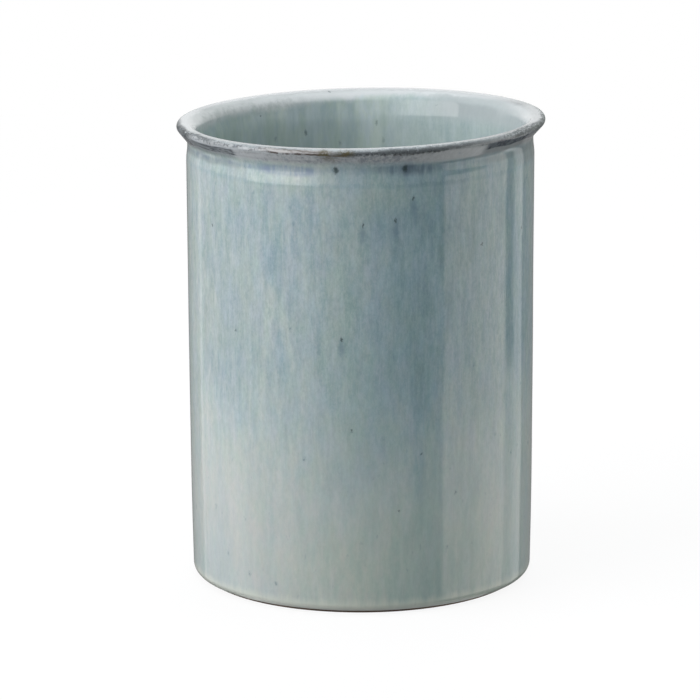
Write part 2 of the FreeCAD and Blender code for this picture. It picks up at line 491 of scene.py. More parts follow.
def ragged(place):
    """The place shaken a little, which gives a spot a ragged edge."""
    values = {"Vector": place, "Scale": ragged_scale, "Detail": 1.0}
    shake = add(place.id_data, "ShaderNodeTexNoise", values).outputs["Color"]
    return vector("MULTIPLY_ADD", vector("SUBTRACT", shake, (0.5, 0.5, 0.5)), ragged_reach, place)


def round_the_pot(azimuth, height, radius):
    """A point of the pot; azimuth 0 is the front, 90 the right-hand side."""
    turn = math.radians(azimuth)
    return Vector((radius * math.sin(turn), -radius * math.cos(turn), height))


def applied(group, values):
    """The outputs of a shader group with its inputs set."""
    return add(tree_of(*values.values()), "ShaderNodeGroup", values, node_tree=group).outputs


def soft_spot(place, centre, across, down, core):
    """A soft round mark on the glaze."""
    values = {"Place": place, "Centre": centre, "Across": across, "Down": down, "Core": core}
    return applied(spot, values)["Mask"]


def side_of(place, azimuth):
    """1 on the side of the pot that faces this azimuth, -1 on the far side."""
    turn = math.radians(azimuth)
    way = vector("NORMALIZE", vector("MULTIPLY", place, (1, 1, 0)))
    return vector("DOT_PRODUCT", way, (math.sin(turn), -math.cos(turn), 0))


lip_crest = (0.4, 0.445, 0.455)
lip_land = (0.268, 0.302, 0.308)
lip_land_dark = (0.164, 0.187, 0.192)
lip_land_back = (0.475, 0.505, 0.51)
lip_skin = (0.44, 0.47, 0.475)
lip_skin_dark = (0.13, 0.14, 0.145)
lip_blush_dark = (0.213, 0.235, 0.262)
lip_blush_pale = (0.475, 0.505, 0.525)
lip_reflection_beige = (0.49, 0.505, 0.5)
lip_grit = (0.035, 0.04, 0.043)
lip_ash = (0.205, 0.237, 0.248)
lip_flank_grey = (0.36, 0.39, 0.39)
lip_end_grey = (0.115, 0.13, 0.125)
lip_olive = (0.085, 0.074, 0.026)
lip_blue = (0.235, 0.305, 0.4)
lip_deep = (0.124, 0.17, 0.212)
lip_shadow = (0.22, 0.265, 0.265)
lip_rust = (0.075, 0.06, 0.05)
lip_warm = (0.42, 0.375, 0.345)
lip_slate = (0.185, 0.212, 0.237)
lip_slate_dark = (0.079, 0.095, 0.114)
lip_slate_pale = (0.37, 0.405, 0.415)
lip_draw = 0.18
lip, lip_in = shader_group(
    "lip break",
    {"Place": "Vector", "Fall": "Float", "Colour": "Color", "Run": "Float"},
    {"Colour": "Color", "Bare": "Float"})
lip_place = lip_in["Place"]


def between(value, low, high, soft):
    """1 while the value is from low to high, with soft ends."""
    rise = ramped(value, low - soft, low + soft)
    return product(rise, ramped(value, high + soft, high - soft))


# Where a point of the lip lies: its fall from the nose, its side of the pot, and the noise there
lip_wander = calc("SUBTRACT", noise(lip_place, 130.0), 0.5)
lip_speckle = calc("SUBTRACT", noise(lip_place, 1000.0, 3.0, 0.85), 0.5)
lip_tone = noise(lip_place, 380.0, 4.0, 0.65, shift=(0.35, 0.0, 0.0))
lip_ring = vector("MULTIPLY", lip_place, (lip_draw, lip_draw, 0))
lip_down = add(lip, "ShaderNodeCombineXYZ", {"Z": product(lip_in["Fall"], millimetre)}).outputs[0]
lip_streak = noise(vector("ADD", lip_ring, lip_down), 1300.0, 3.0, 0.65)
lip_hair = noise(lip_place, 1000.0, 3.0, 0.7, stretch=(1, 1, 0.12), shift=(0.2, 0.8, 0.0))
lip_hair = calc("SUBTRACT", lip_hair, 0.5)
lip_fall = summed(lip_in["Fall"], (lip_wander, 2.0))
lip_rough = summed(lip_fall, (lip_speckle, 3.0))
lip_across = summed(side_of(lip_place, 90.0), (lip_wander, 0.06))
lip_side = calc("ABSOLUTE", lip_across)
lip_left = ramped(lip_across, -0.05, -0.3)
lip_right = ramped(lip_across, -0.2, -0.1)
lip_face = ramped(summed(side_of(lip_place, 0.0), (lip_right, 0.15)), -0.25, 0.1)
lip_flank = product(ramped(lip_side, 0.7, 0.86), lip_face)
lip_end = product(ramped(lip_side, 0.86, 0.95), lip_face)
lip_front = summed(lip_rough, (ramped(lip_side, 0.2, 0.08), -0.6), (lip_left, -0.55))

# Blue pools round the neck, and painted shade under the lip and down the neck at its ends
left_centre = round_the_pot(-24.0, crock_height - 0.0079, neck_radius)
pool_left = soft_spot(lip_place, left_centre, across=0.0155, down=0.0025, core=0.2)
right_centre = round_the_pot(15.5, crock_height - 0.0072, neck_radius)
pool_right = soft_spot(lip_place, right_centre, across=0.0145, down=0.0028, core=0.2)
pool_round = product(
    between(lip_fall, 6.4, 7.8, 0.7), ramped(lip_tone, 0.42, 0.6, 0.3, 0.8),
    ramped(lip_across, 0.0, -0.5, 0.5, 1.0))
pool_run = ramped(lip_in["Run"], -0.9, 0.6, 0.3, 0.85)
pool = product(calc("MAXIMUM", calc("MINIMUM", product(pool_left, 1.5), 1.0), pool_round), pool_run)
deep_pool = product(pool_right, pool_run)
shadow = product(between(lip_fall, 2.0, 4.6, 1.2), ramped(lip_across, -0.68, -0.85), 0.45)
shade_sides = calc("MAXIMUM", ramped(lip_across, 0.62, 0.74), ramped(lip_across, -0.62, -0.75))
shade = product(between(lip_fall, 6.5, 8.6, 0.7), shade_sides, 0.45)
neck_end_shade = product(between(lip_fall, 1.5, 12.0, 1.5), ramped(lip_across, 0.85, 0.92), 0.5)

# The mottled break under the lip; on the right it turns paler beige and reaches lower, a painted reflection
# of the right window
right_reflection_share = ramped(lip_across, 0.15, 0.5)
blush_tone = summed(
    lip_tone, (lip_speckle, 0.8), (lip_streak, 0.3), (lip_hair, 1.2), (lip_left, 0.1),
    (ramped(lip_across, -0.3, -0.6), 0.16))
blush_colour = mixed(ramped(blush_tone, 0.35, 1.0), lip_blush_dark, lip_blush_pale)
blush_colour = mixed(product(right_reflection_share, 0.75), blush_colour, lip_reflection_beige)
blush_fall = summed(lip_fall, (right_reflection_share, -1.3), (lip_hair, 1.5))
blush = product(ramped(blush_fall, 5.6, 3.2), ramped(lip_fall, -2.4, -1.6), 0.84)
hem = product(between(lip_fall, 2.9, 3.7, 0.4), lip_left, 0.25)

# The pale skin, crest and land on top, and the dark band of iron along the nose
pale_skin = product(ramped(lip_rough, 0.7, -0.1), ramped(lip_fall, -3.0, -2.2), lip_left, 0.9)
skin_tone = summed(lip_streak, (lip_speckle, 0.7), (lip_hair, 0.3))
skin_colour = mixed(ramped(skin_tone, 0.41, 0.65), lip_skin, lip_skin_dark)
crest_colour = mixed(ramped(lip_fall, -2.0, -2.9), lip_crest, lip_land)
land_grey = summed(
    ramped(lip_across, 0.3, 0.7, 0.0, 0.55), (between(lip_across, -0.75, -0.3, 0.12), 0.3),
    (ramped(lip_hair, -0.05, 0.2), 0.35),
    (product(ramped(lip_speckle, 0.0, 0.12), ramped(lip_across, 0.1, 0.5)), 0.6))
crest_colour = mixed(land_grey, crest_colour, lip_land_dark)
lip_back = ramped(side_of(lip_place, 180.0), 0.2, 0.7)
land_ends = product(ramped(lip_side, 0.9, 0.98), ramped(lip_across, 0.0, 0.5, 1.0, 0.6))
crest_colour = mixed(calc("MAXIMUM", lip_back, land_ends), crest_colour, lip_land_back)
crest = product(ramped(lip_front, -0.9, -1.7), ramped(lip_fall, -6.2, -4.6))
band_low = summed(lip_rough, (ramped(lip_across, 0.35, 0.5), 0.8))
band = product(
    ramped(lip_front, -1.75, -0.5), ramped(band_low, 1.5, 0.7), lip_right,
    ramped(lip_across, 0.5, 0.85, 1.0, 0.4))
band_colour = mixed(ramped(lip_speckle, -0.14, 0.18), lip_grit, lip_ash)

# Bare grit at the flanks and ends, and pepper and salt over the nose
flank_rise = product(lip_right, ramped(lip_side, 0.98, 0.92))
flank_top = ramped(summed(lip_rough, (flank_rise, 1.1)), -2.7, -1.6)
flank_foot = ramped(summed(lip_rough, (lip_left, 0.9)), 0.9, 0.1)
flank_tone = summed(lip_streak, (lip_speckle, 1.6), (lip_left, 0.16))
flank_colour = mixed(ramped(flank_tone, 0.36, 0.52), lip_flank_grey, lip_grit)
flank_face = product(lip_flank, flank_top, flank_foot, 0.75)
end_face = product(lip_end, ramped(lip_rough, -1.7, -0.9), ramped(lip_rough, 1.2, 0.4), 0.9)
end_colour = mixed(product(lip_left, 0.7), lip_end_grey, lip_grit)
pepper_right = ramped(lip_across, -0.2, 0.2, 0.2, 0.5)
pepper_side = calc("MAXIMUM", pepper_right, ramped(lip_across, -0.6, -0.85, 0.2, 0.6))
pepper = product(ramped(lip_speckle, 0.03, 0.11), between(lip_fall, -2.2, 0.5, 0.5), lip_face, pepper_side)
salt = product(ramped(lip_speckle, -0.05, -0.13), between(lip_fall, -1.8, 0.3, 0.5), lip_face, 0.45)
streak_side = ramped(lip_across, -0.45, -0.65, 0.08, 0.5)
streak = product(ramped(lip_streak, 0.54, 0.64), between(lip_fall, -1.3, 2.0, 0.4), streak_side)

# Rusty threads along the nose, and olive marks in the middle
thread_wave = calc("SUBTRACT", noise(lip_place, 110.0, roughness=0.6), 0.5)
thread_fall = summed(lip_in["Fall"], (thread_wave, 2.4))
warm_stain = product(between(thread_fall, -1.1, 0.1, 0.3), between(lip_across, -0.5, -0.16, 0.1), 0.45)
thread_side = between(lip_across, -0.5, -0.05, 0.04)
thread = product(between(thread_fall, 0.0, 0.6, 0.22), thread_side, ramped(lip_tone, 0.36, 0.5), 0.95)
thread_over_fall = summed(thread_fall, (lip_wander, 2.5))
thread_over_side = between(lip_across, -0.45, -0.2, 0.05)
thread_over = product(between(thread_over_fall, -1.25, -0.85, 0.22), thread_over_side, 0.65)
olive_marks = {
    "small blot": dict(azimuth=-11.0, below_top=0.0019, size=(0.0034, 0.0026), weight=0.85),
    "large blot": dict(azimuth=-4.6, below_top=0.0014, size=(0.0042, 0.0018), weight=0.95),
    "stain below": dict(azimuth=-9.0, below_top=0.0036, size=(0.0045, 0.003), weight=0.6),
}
olive_grain = ramped(lip_speckle, -0.12, 0.06, 0.25, 1.0)
olive_layers = []
for mark in olive_marks.values():
    mark_centre = round_the_pot(mark["azimuth"], crock_height - mark["below_top"], rim_radius)
    mark_share = soft_spot(lip_place, mark_centre, *mark["size"], core=0.2)
    olive_layers.append((product(mark_share, olive_grain, mark["weight"]), lip_olive))

# Painted shade and a dark slate reflection in the crease under the lip at both ends
crease_tone = summed(lip_tone, (lip_speckle, 0.35), (lip_hair, 0.4))
crease_shade_colour = mixed(ramped(crease_tone, 0.4, 0.6), lip_slate_dark, lip_slate)
crease_pale = product(ramped(summed(lip_streak, (lip_wander, 0.5)), 0.44, 0.62), lip_left, 0.8)
crease_shade_colour = mixed(crease_pale, crease_shade_colour, lip_slate_pale)
crease_fall = summed(lip_fall, (lip_left, -0.5), (lip_hair, 0.8))
painted_crease_shade = product(ramped(lip_side, 0.665, 0.69), between(crease_fall, 0.4, 3.1, 0.25), 0.92)

# The layers of the lip, each over the one before
lip_layers = [
    (pool, lip_blue),
    (deep_pool, lip_deep),
    (shadow, lip_shadow),
    (shade, lip_shadow),
    (neck_end_shade, lip_shadow),
    (blush, blush_colour),
    (hem, lip_slate),
    (pale_skin, skin_colour),
    (crest, crest_colour),
    (band, band_colour),
    (flank_face, flank_colour),
    (end_face, end_colour),
    (pepper, lip_grit),
    (salt, lip_crest),
    (streak, lip_slate),
    (warm_stain, lip_warm),
    (thread, lip_rust),
    (thread_over, lip_rust),
    *olive_layers,
    (painted_crease_shade, crease_shade_colour),
]
lip_colour = lip_in["Colour"]
for share, colour in lip_layers:
    lip_colour = mixed(share, lip_colour, colour)
lip_bare = calc("MAXIMUM", calc("MAXIMUM", flank_face, end_face), product(band, 0.6))
add(lip, "NodeGroupOutput", {"Colour": lip_colour, "Bare": lip_bare})

glaze_cream = (0.575, 0.615, 0.58)
glaze_celadon = (0.49, 0.575, 0.56)
glaze_blue = (0.412, 0.515, 0.525)
glaze_slate = (0.335, 0.455, 0.489)
glaze_deep = (0.238, 0.35, 0.382)
glaze_foot = (0.72, 0.755, 0.65)
fine_dark = (0.77, 0.825, 0.83)
fine_pale = (1.11, 1.09, 1.085)
hue_straw = (1.0, 1.0, 0.93)
rose_green = (0.968, 1.0, 0.995)
rose_pink = (1.035, 0.99, 1.0)
hue_sky = (0.97, 0.972, 1.018)
iron_dark = (0.05, 0.075, 0.075)
iron_halo = (0.17, 0.26, 0.31)


def dotted(share, place, spots, radius, across, down, core, strength):
    """A share with a soft dot added at each azimuth and height of a wall of this radius."""
    for azimuth, height in spots.values():
        dot = soft_spot(place, round_the_pot(azimuth, height, radius), across, down, core)
        share = calc("MAXIMUM", share, product(dot, strength))
    return share


glaze, glaze_tree, glaze_shader, glaze_place = finish_material("running glaze")
glaze_runs = applied(runs, {
    "Place": glaze_place, "Hair scale": 1600.0, "Run scale": 330.0, "Cloud scale": 36.0})
glaze_height = add(glaze_tree, "ShaderNodeSeparateXYZ", {0: glaze_place}).outputs["Z"]
poured_side = side_of(glaze_place, 30.0)
poured_top = ramped(poured_side, 0.3, 0.95, 0.45, 0.9)
thinned = ramped(glaze_height, 0.124, 0.143)
pooled = calc("MULTIPLY_ADD", thinned, calc("SUBTRACT", poured_top, 1.0), 1.0)
pooled = product(ramped(glaze_height, 0.02, 0.09), pooled)
poured = ramped(poured_side, 0.6, 1.0, -0.04, 0.34)
run_reach = ramped(glaze_height, 0.03, 0.1, 0.045, 0.08)
thickness = summed(calc("MULTIPLY_ADD", pooled, 0.3, 0.16), (poured, pooled))
thickness = woven(thickness, glaze_runs, Cloud=0.14, Run=run_reach, Hair=0.03)
drift = product(glaze_runs["Hue"], 0.75)
blossom = glaze_runs["Rose"]

# Zones of the wall by azimuth and height, with their size across and down
pour_zones = {
    "lilac drift": dict(place=(-50, 0.1), size=(0.026, 0.05), thick=-0.03, blue=-0.2, rose=1.2),
    "rosy foot": dict(place=(-56, 0.016), size=(0.02, 0.03), blue=0.2, rose=1.0),
    "green shoulder": dict(place=(-26, 0.1395), size=(0.034, 0.008), blue=-0.5),
    "blue run": dict(place=(-22, 0.114), size=(0.013, 0.024), thick=0.05, blue=0.8),
    "straw run": dict(place=(-6, 0.1), size=(0.007, 0.03), thick=-0.05, blue=-0.9, rose=-0.4),
    "thin shoulder": dict(place=(10, 0.134), size=(0.016, 0.008), thick=-0.15, blue=-0.5),
    "clear run": dict(place=(13, 0.09), size=(0.011, 0.022), thick=-0.15, blue=-0.2),
    "slate run": dict(place=(-25, 0.085), size=(0.008, 0.016), thick=0.1, blue=0.3),
    "pale middle": dict(place=(-1, 0.072), size=(0.012, 0.034), thick=-0.13, blue=-0.7, rose=-0.4),
    "dark run": dict(place=(20, 0.052), size=(0.009, 0.034), thick=0.19, blue=-0.2, rose=-0.2),
    "low left": dict(place=(-50, 0.068), size=(0.015, 0.02), thick=0.1, blue=0.3, rose=0.2),
    "rosy side": dict(place=(40, 0.12), size=(0.016, 0.04), blue=-0.6, rose=0.6),
    "pale run": dict(place=(-40, 0.1), size=(0.01, 0.02), thick=-0.1),
    "slate shoulder": dict(place=(-14, 0.131), size=(0.008, 0.012), thick=0.1, blue=0.4),
    "green foot": dict(place=(14, 0.008), size=(0.052, 0.04), thick=0.13, blue=-2.4, rose=-0.5),
}
zone_streaks = ramped(glaze_runs["Run"], -1.0, 1.0, 0.5, 1.3)
for zone in pour_zones.values():
    zone_centre = round_the_pot(*zone["place"], shoulder_radius)
    zone_mask = soft_spot(glaze_place, zone_centre, *zone["size"], core=0.1)
    zone_mask = product(zone_mask, zone_streaks)
    thickness = summed(thickness, (zone_mask, zone.get("thick", 0.0)))
    drift = summed(drift, (zone_mask, zone.get("blue", 0.0)))
    blossom = summed(blossom, (zone_mask, zone.get("rose", 0.0)))
shoulder_place = woven(glaze_height, glaze_runs, Cloud=0.0004, Grain=0.0004)
shoulder_line = product(ramped(shoulder_place, 0.1366, 0.1376), ramped(shoulder_place, 0.1388, 0.1382))
thickness = summed(thickness, (shoulder_line, 0.11))

# The colour by thickness, from cream where the glaze is thin to deep slate where it has pooled
glaze_bands = add(glaze_tree, "ShaderNodeValToRGB", {0: thickness})
glaze_stops = glaze_bands.color_ramp.elements
glaze_stops[0].color = (*glaze_cream, 1)
glaze_stops[1].color = (*glaze_deep, 1)
for position, colour in ((0.25, glaze_celadon), (0.5, glaze_blue), (0.75, glaze_slate)):
    glaze_stops.new(position).color = (*colour, 1)
glaze_colour = glaze_bands.outputs["Color"]

# Tints: fine streaks, straw to blue, and green to rose
fine = woven(0.0, glaze_runs, Grain=0.65, Run=-0.35, Hair=0.4)
fine_reach = ramped(glaze_height, 0.02, 0.1, 0.22, 0.58)
fine_tint = mixed(calc("MULTIPLY_ADD", fine, fine_reach, 0.5), fine_dark, fine_pale)
hue_reach = ramped(pooled, 0.0, 0.7, 0.3, 0.55)
hue_tint = mixed(calc("MULTIPLY_ADD", drift, hue_reach, 0.5), hue_straw, hue_sky)
rose_tint = mixed(calc("MULTIPLY_ADD", blossom, 0.5, 0.5), rose_green, rose_pink)
for tint in (fine_tint, hue_tint, rose_tint):
    glaze_colour = mixed(1.0, glaze_colour, tint, "MULTIPLY")
glaze_fall = add(glaze_tree, "ShaderNodeAttribute", attribute_name="fall").outputs["Fac"]
glaze_lip = applied(lip, {
    "Place": glaze_place, "Fall": glaze_fall, "Colour": glaze_colour, "Run": glaze_runs["Run"]})
tick_field = noise(glaze_place, 520.0, 2.0, 0.6, stretch=(1, 1, 0.45), shift=(0.1, 0.4, 0.3))
ticks = product(ramped(tick_field, 0.68, 0.78), 0.3)
glaze_colour = mixed(ticks, glaze_lip["Colour"], iron_halo)

# Iron spots by azimuth and height: some have bled downward, the large ones lie in the neck
bled_spots = {
    "below the middle of the lip": (0.6, 0.1257),
    "right of the middle": (11.0, 0.127),
    "higher on the right": (16.9, 0.1338),
    "left of the middle": (-6.4, 0.0895),
}
large_spots = {
    "under the lip, left": (-7.9, 0.1429),
    "under the lip, right": (14.2, 0.1432),
}
bare_spots = {
    "left side": (-56.6, 0.121),
    "left side, lower": (-45.1, 0.0892),
    "low middle": (-3.3, 0.0603),
    "low right": (19.8, 0.0519),
    "lowest": (12.1, 0.0341),
    "right side": (42.6, 0.1167),
    "right edge": (65.8, 0.1182),
}
tail_drop = 0.003
tails = {name: (azimuth, height - tail_drop) for name, (azimuth, height) in bled_spots.items()}
iron_place = ragged(glaze_place)
iron_specks = applied(specks, {"Place": iron_place, "Spacing": 0.009, "Core": 0.00042})
halo_share = dotted(
    product(iron_specks["Halo"], 0.3), iron_place, tails, shoulder_radius,
    across=0.002, down=0.005, core=0.05, strength=0.6)
iron_kinds = (
    dict(spots=bled_spots, radius=shoulder_radius, across=0.00055, down=0.0012, core=0.2, strength=0.8),
    dict(spots=large_spots, radius=neck_radius, across=0.0012, down=0.0018, core=0.25, strength=0.85),
    dict(spots=bare_spots, radius=shoulder_radius, across=0.00065, down=0.0008, core=0.25, strength=0.65),
)
iron_share = product(iron_specks["Speck"], 0.3)
for kind in iron_kinds:
    iron_share = dotted(iron_share, iron_place, **kind)
glaze_colour = mixed(halo_share, glaze_colour, iron_halo)
glaze_colour = mixed(iron_share, glaze_colour, iron_dark)
foot_thin = ramped(woven(glaze_height, glaze_runs, Run=0.0006), 0.006, 0.0025, 0.0, 0.6)
glaze_colour = mixed(foot_thin, glaze_colour, glaze_foot)
glaze_matt = summed(ramped(glaze_runs["Run"], -1.0, 1.0, 0.03, 0.07), (glaze_lip["Bare"], 0.65))
glaze_relief = woven(0.0, glaze_runs, Run=1.0, Grain=0.5, Hair=0.3)
glaze_bump = add(glaze_tree, "ShaderNodeBump", {"Height": glaze_relief, "Distance": 8e-6, "Strength": 0.4})
feed(glaze_shader, {"Base Color": glaze_colour, "Roughness": glaze_matt, "Normal": glaze_bump.outputs[0]})

glaze_ripple = 0.00003
outer_skins = [0.0] + [1.0] * (len(outer_face) - 1) + [0.0] * len(outer_back)
outer_falls += [outer_falls[-1]] * len(outer_back)
outer = turned_piece(
    "outer_coat", outer_face + outer_back, outer_skins, outer_falls, glaze, steps_round, glaze_ripple,
    loop=True)
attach(outer, "root")
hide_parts("outer_glaze")

# Rim glaze
# The thin skin over the lip, where the glaze ran off the edge and let the iron of the clay through. It comes
# from the same pour as the coat outside, so it has the same finish.

rim_back = arc_points(lip_centre, over_lip, under_lip)
rim_falls = falls_after(rim_face, -to_nose)
rim_hidden = [0.0] * len(rim_back)
rim_skins = [1.0] * len(rim_face) + rim_hidden
rim = turned_piece(
    "rim_coat", rim_face + rim_back, rim_skins, rim_falls + rim_hidden, glaze, steps_round, glaze_ripple,
    loop=True)
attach(rim, "root")
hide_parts("rim_glaze")

# Liner glaze
# The coat inside, swilled round in the pot and poured out again. It covers the dished top of the lip, the
# wall and the floor, pale where it is thin on the flare and deeper down the wall.

liner_pale = (0.53, 0.56, 0.56)
liner_back_pale = (0.57, 0.605, 0.61)
liner_rich_and_shade = (0.37, 0.41, 0.415)
liner_green = (0.54, 0.625, 0.62)
liner_mottle_and_shade = (0.37, 0.455, 0.45)
liner_dark = (0.2, 0.25, 0.245)
liner_glaze, liner_tree, liner_shader, liner_place = finish_material("liner glaze")
liner_runs = applied(runs, {
    "Place": liner_place, "Hair scale": 1100.0, "Run scale": 300.0, "Cloud scale": 40.0})
liner_mix = woven(0.5, liner_runs, Cloud=0.3, Run=0.2, Hair=0.12, Grain=0.3)
liner_colour = mixed(liner_mix, liner_green, liner_mottle_and_shade)
liner_hue = mixed(ramped(liner_runs["Hue"], -1.0, 1.0), hue_straw, hue_sky)
liner_colour = mixed(1.0, liner_colour, liner_hue, "MULTIPLY")
liner_across = side_of(liner_place, 90.0)
# Painted shade: the inside darker towards its left, and towards its right
liner_colour = mixed(ramped(liner_across, 0.1, -0.8, 0.0, 0.33), liner_colour, liner_dark)
liner_colour = mixed(ramped(liner_across, 0.05, 0.3, 0.0, 0.7), liner_colour, liner_mottle_and_shade)
liner_fine = woven(0.6, liner_runs, Grain=0.35, Run=-0.2, Hair=0.2)
liner_colour = mixed(1.0, liner_colour, mixed(liner_fine, fine_dark, fine_pale), "MULTIPLY")

# The pale flare at the mouth, darker on the right as painted shade, with painted shade under it on the right,
# and the smudge below it on the left
flare_right_shade = product(ramped(liner_across, 0.1, 0.8, 0.0, 0.9), ramped(liner_across, 0.97, 0.84, 0.6, 1.0))
liner_flare = mixed(flare_right_shade, liner_pale, liner_rich_and_shade)
flare_streaks = woven(0.0, liner_runs, Grain=1.0, Run=0.8)
liner_flare = mixed(ramped(flare_streaks, -1.0, 1.2, 0.0, 0.4), liner_flare, liner_rich_and_shade)
liner_flare = mixed(ramped(side_of(liner_place, 180.0), 0.5, 0.9), liner_flare, liner_back_pale)
liner_fall = add(liner_tree, "ShaderNodeAttribute", attribute_name="fall").outputs["Fac"]
liner_edge = woven(liner_fall, liner_runs, Run=0.4, Cloud=1.3, Grain=0.35)
liner_edge = summed(
    liner_edge, (ramped(liner_across, 0.25, 0.6), -0.6), (ramped(liner_across, -0.15, -0.5), 2.4),
    (ramped(liner_across, 0.84, 0.95), 1.2))
liner_colour = mixed(ramped(liner_edge, -9.2, -6.0), liner_colour, liner_flare)
# Painted shade under the flare on the right
liner_shade_under_flare = product(
    ramped(liner_fall, -17.0, -11.0), ramped(liner_edge, -6.0, -7.5), ramped(liner_across, 0.3, 0.6), 0.75)
liner_colour = mixed(liner_shade_under_flare, liner_colour, liner_rich_and_shade)
smudge_field = noise(liner_place, 240.0, 4.0, 0.7, stretch=(1, 1, 0.8), shift=(0.5, 0.3, 0.9))
smudge_band = product(ramped(liner_fall, -12.8, -9.3), ramped(liner_fall, -5.3, -7.3))
smudge_side = ramped(side_of(liner_place, -128.0), 0.8, 0.96, 0.15, 1.0)
smudge = product(ramped(smudge_field, 0.4, 0.66), smudge_band, smudge_side, 0.4)
liner_colour = mixed(smudge, liner_colour, liner_dark)
liner_lip = applied(lip, {
    "Place": liner_place, "Fall": liner_fall, "Colour": liner_colour, "Run": liner_runs["Run"]})

# Iron spots on the far wall by azimuth, height and strength
liner_spots = {
    "left of the back": (-159.5, 0.1366, 0.6),
    "further left": (-146.9, 0.1353, 0.3),
    "at the back": (-172.5, 0.1325, 0.35),
    "right of the back": (173.7, 0.1393, 0.4),
    "right of the back, lower": (171.1, 0.1335, 0.3),
}
liner_radius = throat.x - wall_glaze
liner_ragged = ragged(liner_place)
liner_specks = applied(specks, {"Place": liner_ragged, "Spacing": 0.009, "Core": 0.00045})
liner_share = product(liner_specks["Speck"], 0.5)
for name, (azimuth, height, strength) in liner_spots.items():
    liner_share = dotted(
        liner_share, liner_ragged, {name: (azimuth, height)}, liner_radius,
        across=0.0007, down=0.0015, core=0.2, strength=strength)
liner_colour = mixed(liner_share, liner_lip["Colour"], iron_dark)
liner_gloss = ramped(liner_lip["Bare"], 0.0, 1.0, 0.05, 0.7)
feed(liner_shader, {"Base Color": liner_colour, "Roughness": liner_gloss})

liner_step = 0.0016
liner_face = stepped(rounded(inside_coat), liner_step)
liner_back = stepped(rounded(inside_path)[::-1], hidden_step)
liner_skins = [0.0] * len(liner_back) + [1.0] * len(liner_face)
liner_falls = [0.0] * len(liner_back) + falls_after(liner_face, rim_falls[-1])
liner = turned_piece(
    "liner_coat", liner_back + liner_face, liner_skins, liner_falls, liner_glaze, steps_round, glaze_ripple,
    loop=False)
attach(liner, "root")
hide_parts("liner_glaze")

# Base glaze
# A patch of glaze brushed into the recess under the pot, inside the bare ring that it stands on. It is
# fused to the clay like the other coats, and has the liner's finish.

patch_glaze = 0.0005
patch_margin = 0.001
patch_step = 0.002
patch_fall = -100.0
patch_radius = recess_corner.x - recess_ease - patch_margin
patch_height = recess_depth - patch_glaze
patch_corners = [
    (Vector((0, patch_height)), 0),
    (Vector((patch_radius, patch_height)), patch_glaze * coat_edge_share),
    (Vector((patch_radius, recess_depth)), 0),
]
patch_line = stepped(rounded(patch_corners) + [recess_centre], patch_step)
patch_skins = [0.0] * len(patch_line)
patch_falls = [patch_fall] * len(patch_line)
patch = turned_piece(
    "base_patch", patch_line, patch_skins, patch_falls, liner_glaze, steps=240, run_depth=0.0, loop=False)
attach(patch, "root")
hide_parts("base_glaze")

# Studio
# A white floor and surround, soft lamps for the light, and pale and dark cards that only the gloss of the
# glaze sees. The camera looks down on the front a little.

scene = bpy.context.scene
scene.view_settings.view_transform = "Standard"
world = bpy.data.worlds.new("studio")
scene.world = world
world.use_nodes = True
world_tree = world.node_tree
light_path = add(world_tree, "ShaderNodeLightPath").outputs
seen = calc("MAXIMUM", light_path["Is Camera Ray"], light_path["Is Glossy Ray"])
seen = calc("MAXIMUM", seen, light_path["Is Transmission Ray"])
ambient_level = 0.2
ambient_tint = (0.86, 1.0, 1.05)
white = (1.0, 1.0, 1.0)
level = add(world_tree, "ShaderNodeMapRange", {"Value": seen, "To Min": ambient_level, "To Max": 1.0})
world_light = {"Strength": level.outputs[0], "Color": mixed(seen, ambient_tint, white)}
feed(world_tree.nodes["Background"], world_light)

floor_reach = 4.0
floor_mesh = bpy.data.meshes.new("floor")
floor_corners = [(x * floor_reach, y * floor_reach, 0) for x, y in ((-1, -1), (1, -1), (1, 1), (-1, 1))]
floor_mesh.from_pydata(floor_corners, [], [(0, 1, 2, 3)])
floor = new_object("floor", floor_mesh)
floor_bounce = (0.2, 0.2, 0.2)
floor_grey = (0.9, 0.9, 0.9)
floor_paint = bpy.data.materials.new("white sweep")
floor_paint.use_nodes = True
floor_tree = floor_paint.node_tree
floor_tree.nodes.remove(floor_tree.nodes["Principled BSDF"])
floor_rays = add(floor_tree, "ShaderNodeLightPath").outputs
floor_seen = calc("MAXIMUM", floor_rays["Is Camera Ray"], floor_rays["Is Glossy Ray"])
floor_colour = mixed(floor_seen, floor_bounce, floor_grey)
floor_matte = add(floor_tree, "ShaderNodeBsdfDiffuse", {"Color": floor_colour}).outputs[0]
floor_white = add(floor_tree, "ShaderNodeEmission", {"Color": (*white, 1), "Strength": 1.0}).outputs[0]
floor_away = vector("LENGTH", add(floor_tree, "ShaderNodeTexCoord").outputs["Object"])
floor_share = product(floor_seen, ramped(floor_away, 0.3, 0.9, 0.9, 1.0))
floor_mix = add(floor_tree, "ShaderNodeMixShader", {0: floor_share, 1: floor_matte, 2: floor_white})
feed(floor_tree.nodes["Material Output"], {"Surface": floor_mix.outputs[0]})
floor_mesh.materials.append(floor_paint)
floor.visible_glossy = False


def toward(azimuth, elevation):
    """Unit vector away from the crock; azimuth 0 is towards the camera, 90 to its right."""
    turn = math.radians(azimuth)
    rise = math.radians(elevation)
    return Vector((math.sin(turn) * math.cos(rise), -math.cos(turn) * math.cos(rise), math.sin(rise)))


def soft_lamp(name, azimuth, elevation, power, size=0.8, distance=1.3, tint=white):
    """A square soft lamp that shines on the crock, and that neither camera nor gloss sees."""
    lamp = bpy.data.lights.new(name, "AREA")
    lamp.size = size
    lamp.energy = power
    lamp.color = tint
    holder = new_object(name, lamp)
    place = toward(azimuth, elevation) * distance
    turn = place.to_track_quat("Z", "Y").to_matrix().to_4x4()
    holder.matrix_world = Matrix.Translation(place + Vector((0, 0, crock_height / 2))) @ turn
    holder.visible_camera = False
    holder.visible_glossy = False


card_facet = 5


